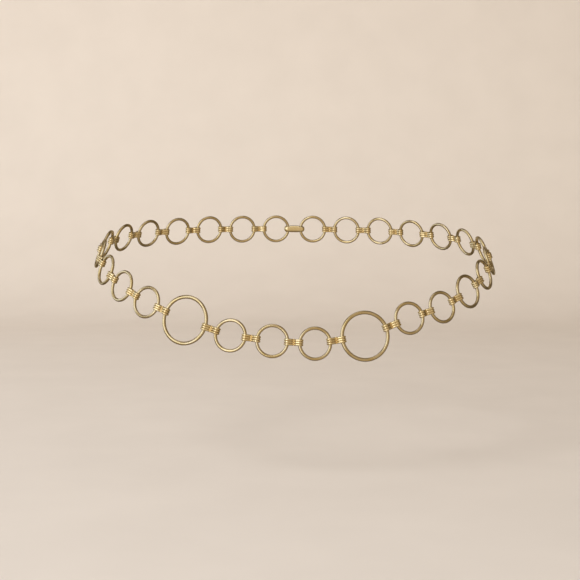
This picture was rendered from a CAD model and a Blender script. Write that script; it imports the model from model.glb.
# %% [markdown]
# # A waist chain of gold-plated brass rings
#
# The chain is a closed loop of round wire rings. Every two of them are joined by a small
# connector of three ribs, soldered side by side. It is shown in the form that it has when it
# is worn, hanging lower in front. This notebook gives the pieces their metal, and sets up a
# plain pale studio and a camera to see them with.

import math

import bmesh
import bpy
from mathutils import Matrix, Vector

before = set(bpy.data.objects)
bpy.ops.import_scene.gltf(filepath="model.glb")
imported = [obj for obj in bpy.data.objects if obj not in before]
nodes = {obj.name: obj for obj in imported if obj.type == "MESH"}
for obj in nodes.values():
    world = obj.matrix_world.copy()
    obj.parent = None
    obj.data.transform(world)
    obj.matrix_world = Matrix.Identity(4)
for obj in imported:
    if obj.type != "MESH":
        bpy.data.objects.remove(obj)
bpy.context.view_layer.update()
MM = 0.001
print("pieces:", len(nodes))

# %% [markdown]
# ## Camera
#
# A camera can be aimed with a constraint, but a position worked out from three plain facts is
# easier to check: the point that it looks at, how far away it stands, and how many degrees
# above level. A long lens from 0.7 m shows the front of the loop almost without perspective,
# as in a product picture, and the back of the loop a little smaller.

# %% Camera
CAMERA_AIM = Vector((-3.2, -98.3, -19.1)) * MM
CAMERA_DISTANCE = 700 * MM
CAMERA_ELEVATION = math.radians(4)
SENSOR_MM = 36
LENS_MM = 75.2

towards_camera = Vector((0, -math.cos(CAMERA_ELEVATION), math.sin(CAMERA_ELEVATION)))
camera_data = bpy.data.cameras.new("studio_camera")
camera_data.sensor_width = SENSOR_MM
camera_data.lens = LENS_MM
camera = bpy.data.objects.new("studio_camera", camera_data)
camera.location = CAMERA_AIM + CAMERA_DISTANCE * towards_camera
camera.rotation_euler = towards_camera.to_track_quat("Z", "Y").to_euler()
bpy.context.scene.collection.objects.link(camera)
bpy.context.scene.camera = camera
print("camera at, mm:", [round(c / MM, 1) for c in camera.location])

# %% [markdown]
# ## Helpers for materials
#
# Colours are written the way that a paint chart gives them, as sRGB hex values. Cycles works
# with linear light, so one function turns one into the other. A second small function adds a
# shader node with its settings and its links, which keeps each material short. Two more add
# what the patterns below are made of: a noise with patches of a given size, and a ramp of
# colours.


# %% Colour and node helpers
def linear(hex_colour):
    channels = [int(hex_colour[i:i + 2], 16) / 255 for i in (1, 3, 5)]
    light = [c / 12.92 if c <= 0.04045 else ((c + 0.055) / 1.055) ** 2.4 for c in channels]
    return (*light, 1.0)


def add_node(tree, kind, settings=(), inputs=(), links=()):
    """Adds a node. settings are its own values, inputs its sockets' values, and links what
    feeds its sockets."""
    node = tree.nodes.new(kind)
    for name, value in dict(settings).items():
        setattr(node, name, value)
    for name, value in dict(inputs).items():
        node.inputs[name].default_value = value
    for name, source in dict(links).items():
        tree.links.new(source, node.inputs[name])
    return node


def add_noise(tree, patch_mm, detail):
    """Adds a noise that goes with the object, with patches about patch_mm across."""
    place = add_node(tree, "ShaderNodeTexCoord").outputs["Object"]
    noise = add_node(
        tree, "ShaderNodeTexNoise",
        inputs={"Scale": 1 / (patch_mm * MM), "Detail": detail}, links={"Vector": place})
    return noise.outputs["Fac"]


def add_ramp(tree, factor, *stops):
    """Adds a ramp. Each stop is a place on the ramp and the colour there."""
    ramp = add_node(tree, "ShaderNodeValToRGB", links={"Fac": factor})
    elements = ramp.color_ramp.elements
    while len(elements) < len(stops):
        elements.new(1.0)
    for element, (place, colour) in zip(elements, stops):
        element.position = place
        element.color = colour
    return ramp.outputs["Color"]


print("linear #C8A860:", [round(c, 3) for c in linear("#C8A860")])

# %% [markdown]
# ## Gold plate on brass
#
# The rings are drawn brass wire with a thin plating of pale gold. Drawing and tumbling leave it
# bright but not mirror-like: the reflections of the lamps are soft along the wire. Such a metal
# has no colour of its own apart from what it does to reflections, so it is one metallic
# shader, and the things to get right are the tint, the roughness and how both wander.
#
# - The tint wanders between two golds, because the plating is thicker in some places.
# - The roughness wanders a little, because handling dulls a polish unevenly.
# - A very low bump stands for the ripple that bending leaves in drawn wire.
# - In the narrow grooves dirt and tarnish stay, which polishing does not reach. The
#   ambient occlusion node finds them on any shape.
#
# One function makes both golds. The rings are a little duller, because they rub against
# whatever they lie on, and the ribs of the connectors keep a brighter and warmer polish.


# %% Gold plate
WHITE = (1, 1, 1, 1)
BLACK = (0, 0, 0, 1)
PLATING_PATCH_MM = 6
PLATING_BLEND = (0.35, 0.65)
GROOVE_REACH_MM = 0.6
GROOVE_BLEND = (0.12, 0.55)
HAZE_MM = 1.5
RIPPLE_HEIGHT_MM = 0.05
RIPPLE_STRENGTH = 0.25


def gold_plate(name, pale, deep, groove, roughness, ripple_mm):
    material = bpy.data.materials.new(name)
    material.use_nodes = True
    tree = material.node_tree
    shader = tree.nodes["Principled BSDF"]
    shader.inputs["Metallic"].default_value = 1.0

    thin, thick = PLATING_BLEND
    tint = add_ramp(
        tree, add_noise(tree, PLATING_PATCH_MM, detail=3),
        (thin, linear(pale)), (thick, linear(deep)))
    openness = add_node(
        tree, "ShaderNodeAmbientOcclusion", settings={"samples": 8},
        inputs={"Distance": GROOVE_REACH_MM * MM})
    closed, opened = GROOVE_BLEND
    dirt = add_ramp(tree, openness.outputs["AO"], (closed, WHITE), (opened, BLACK))
    colour = add_node(
        tree, "ShaderNodeMix", settings={"data_type": "RGBA"},
        inputs={"B": linear(groove)}, links={"Factor": dirt, "A": tint})
    tree.links.new(colour.outputs["Result"], shader.inputs["Base Color"])

    polished, handled = roughness
    dulled = add_node(
        tree, "ShaderNodeMapRange", inputs={"To Min": polished, "To Max": handled},
        links={"Value": add_noise(tree, HAZE_MM, detail=4)})
    tree.links.new(dulled.outputs["Result"], shader.inputs["Roughness"])

    bump = add_node(
        tree, "ShaderNodeBump",
        inputs={"Strength": RIPPLE_STRENGTH, "Distance": RIPPLE_HEIGHT_MM * MM},
        links={"Height": add_noise(tree, ripple_mm, detail=1)})
    tree.links.new(bump.outputs["Normal"], shader.inputs["Normal"])
    return material


ring_gold = gold_plate(
    "ring_gold_plate", pale="#DCCBA8", deep="#D4BE8E", groove="#6B5520",
    roughness=(0.18, 0.28), ripple_mm=8)
connector_gold = gold_plate(
    "connector_gold_plate", pale="#FCEAC0", deep="#F4DCA8", groove="#5A4318",
    roughness=(0.16, 0.26), ripple_mm=4)
print("materials:", ring_gold.name, connector_gold.name)

# %% [markdown]
# ## Dress the pieces
#
# The rings take the duller plating, and the connectors and the clasp the warmer one. The
# pieces keep their own meshes, because their shapes are already right.


# %% Dress the pieces
def dress(node_name, material):
    slots = nodes[node_name].data.materials
    slots.clear()
    slots.append(material)


rings = [name for name in nodes if name.startswith("ring_")]
joiners = [name for name in nodes if name not in rings]
for name in rings:
    dress(name, ring_gold)
for name in joiners:
    dress(name, connector_gold)
print("rings:", len(rings), "connectors and clasp:", len(joiners))

# %% [markdown]
# ## Floor
#
# A sheet of pale paper on a table that curves up behind the object has no corner to see. A
# plane with a bevelled edge would do too. Here it is a strip swept along the X axis, flat,
# then a quarter turn, then upright, so the radius of the turn is one plain number.

# %% Floor
FLOOR_LEVEL = -140 * MM
SWEEP_START = 900 * MM
SWEEP_RADIUS = 500 * MM
SWEEP_STEPS = 16
FLOOR_HALF_WIDTH = 2200 * MM
FLOOR_FRONT = -1600 * MM
WALL_TOP = 1600 * MM

profile = [(FLOOR_FRONT, FLOOR_LEVEL)]
for step in range(SWEEP_STEPS + 1):
    turn = math.pi / 2 * step / SWEEP_STEPS
    profile.append((
        SWEEP_START + SWEEP_RADIUS * math.sin(turn),
        FLOOR_LEVEL + SWEEP_RADIUS * (1 - math.cos(turn))))
profile.append((SWEEP_START + SWEEP_RADIUS, WALL_TOP))

sweep = bmesh.new()
edges = [
    [sweep.verts.new((side * FLOOR_HALF_WIDTH, y, z)) for side in (-1, 1)]
    for y, z in profile]
for near, far in zip(edges, edges[1:]):
    sweep.faces.new((near[0], near[1], far[1], far[0])).smooth = True
floor_mesh = bpy.data.meshes.new("paper_floor")
sweep.to_mesh(floor_mesh)
sweep.free()
floor = bpy.data.objects.new("paper_floor", floor_mesh)
bpy.context.scene.collection.objects.link(floor)
print("floor level, mm:", FLOOR_LEVEL / MM)

# %% [markdown]
# ## Paper
#
# Uncoated paper is matt, so it is rough and has little gloss. Its fibres make it faintly
# cloudy, so its one colour wanders by a shade.

# %% Paper
PAPER_CLOUD_MM = 60
CLOUD_BLEND = (0.3, 0.7)
PAPER_ROUGHNESS = 0.9
PAPER_GLOSS = 0.2

paper = bpy.data.materials.new("matt_paper")
paper.use_nodes = True
paper_shader = paper.node_tree.nodes["Principled BSDF"]
clouds = add_noise(paper.node_tree, PAPER_CLOUD_MM, detail=2)
paper_tint = add_ramp(
    paper.node_tree, clouds,
    (CLOUD_BLEND[0], linear("#DAD1C8")), (CLOUD_BLEND[1], linear("#DDD4CB")))
paper.node_tree.links.new(paper_tint, paper_shader.inputs["Base Color"])
paper_shader.inputs["Roughness"].default_value = PAPER_ROUGHNESS
paper_shader.inputs["Specular IOR Level"].default_value = PAPER_GLOSS
floor_mesh.materials.append(paper)
print("paper:", paper.name)

# %% [markdown]
# ## Light
#
# Polished wire shows the room more than it shows itself, so the lamps are laid out for what
# the metal reflects. Rings that face straight out reflect what stands near the camera, and
# rings further round the loop reflect what stands to the side.
#
# - A tall soft panel stands in front, a little left. It is what makes the large left ring and
#   the ribs beside it bright.
# - A second panel stands straight to the left, for the rings that turn that way.
# - A weak one overhead gives the tops of the rings a pale line.
# - A lamp far behind the camera lights the paper and hides from the metal. The paper hides
#   from it too, because a pale floor would fill every wire with the same flat tone.


# %% Lamps
def soft_lamp(name, place, size_mm, watts, hex_colour="#FFFFFF"):
    data = bpy.data.lights.new(name, "AREA")
    data.shape = "RECTANGLE"
    data.size, data.size_y = (s * MM for s in size_mm)
    data.energy = watts
    data.color = linear(hex_colour)[:3]
    lamp = bpy.data.objects.new(name, data)
    lamp.location = place
    lamp.rotation_euler = (lamp.location - CAMERA_AIM).to_track_quat("Z", "Y").to_euler()
    bpy.context.scene.collection.objects.link(lamp)
    return lamp


def left_of_camera(degrees):
    """A place beside the chain, so many degrees left of the line to the camera."""
    turn = math.radians(degrees)
    level = Vector((-math.sin(turn), -math.cos(turn), 0))
    return CAMERA_AIM + PANEL_DISTANCE * level + Vector((0, 0, PANEL_RISE))


PANEL_DISTANCE = 1400 * MM
PANEL_RISE = 320 * MM
COOL_DAYLIGHT = "#E5F0FF"

soft_lamp(
    "front_left_panel", left_of_camera(36), size_mm=(940, 2400), watts=11.2,
    hex_colour=COOL_DAYLIGHT)
soft_lamp(
    "left_panel", left_of_camera(100), size_mm=(1300, 1130), watts=5.6,
    hex_colour=COOL_DAYLIGHT)
soft_lamp(
    "top_panel", Vector((-200, -100, 1300)) * MM, size_mm=(1000, 1000), watts=2.0)
paper_lamp = soft_lamp(
    "paper_lamp", Vector((-1800, -3000, 2600)) * MM, size_mm=(1500, 1500), watts=135)
paper_lamp.visible_glossy = False
floor.visible_glossy = False
bpy.context.scene.view_settings.view_transform = "Standard"

# %% [markdown]
# ## Room
#
# The rest of the room is a soft warm tone, lighter on the camera's side and dark just past
# the chain's sides. A round wire reflects the near side along its middle and the sides along
# its edges, so this one gradient draws the dark olive outline that every wire has. Far behind
# the chain the room is light again, for a look at the back of the loop.

# %% Room
ROOM_STRENGTH = 1.15
NEAR_SIDE = -0.85
FAR_SIDE = 1.0
DARKEST = 0.65

world = bpy.data.worlds.new("warm_room")
bpy.context.scene.world = world
world.use_nodes = True
room = world.node_tree
direction = add_node(room, "ShaderNodeTexCoord").outputs["Generated"]
depth = add_node(room, "ShaderNodeSeparateXYZ", links={"Vector": direction}).outputs["Y"]
behind = add_node(
    room, "ShaderNodeMapRange", inputs={"From Min": NEAR_SIDE, "From Max": FAR_SIDE},
    links={"Value": depth})
tone = add_ramp(
    room, behind.outputs["Result"],
    (0.0, linear("#BDAE96")), (DARKEST, linear("#463D33")), (1.0, linear("#A89A84")))
background = room.nodes["Background"]
room.links.new(tone, background.inputs["Color"])
background.inputs["Strength"].default_value = ROOM_STRENGTH
print("room:", world.name)
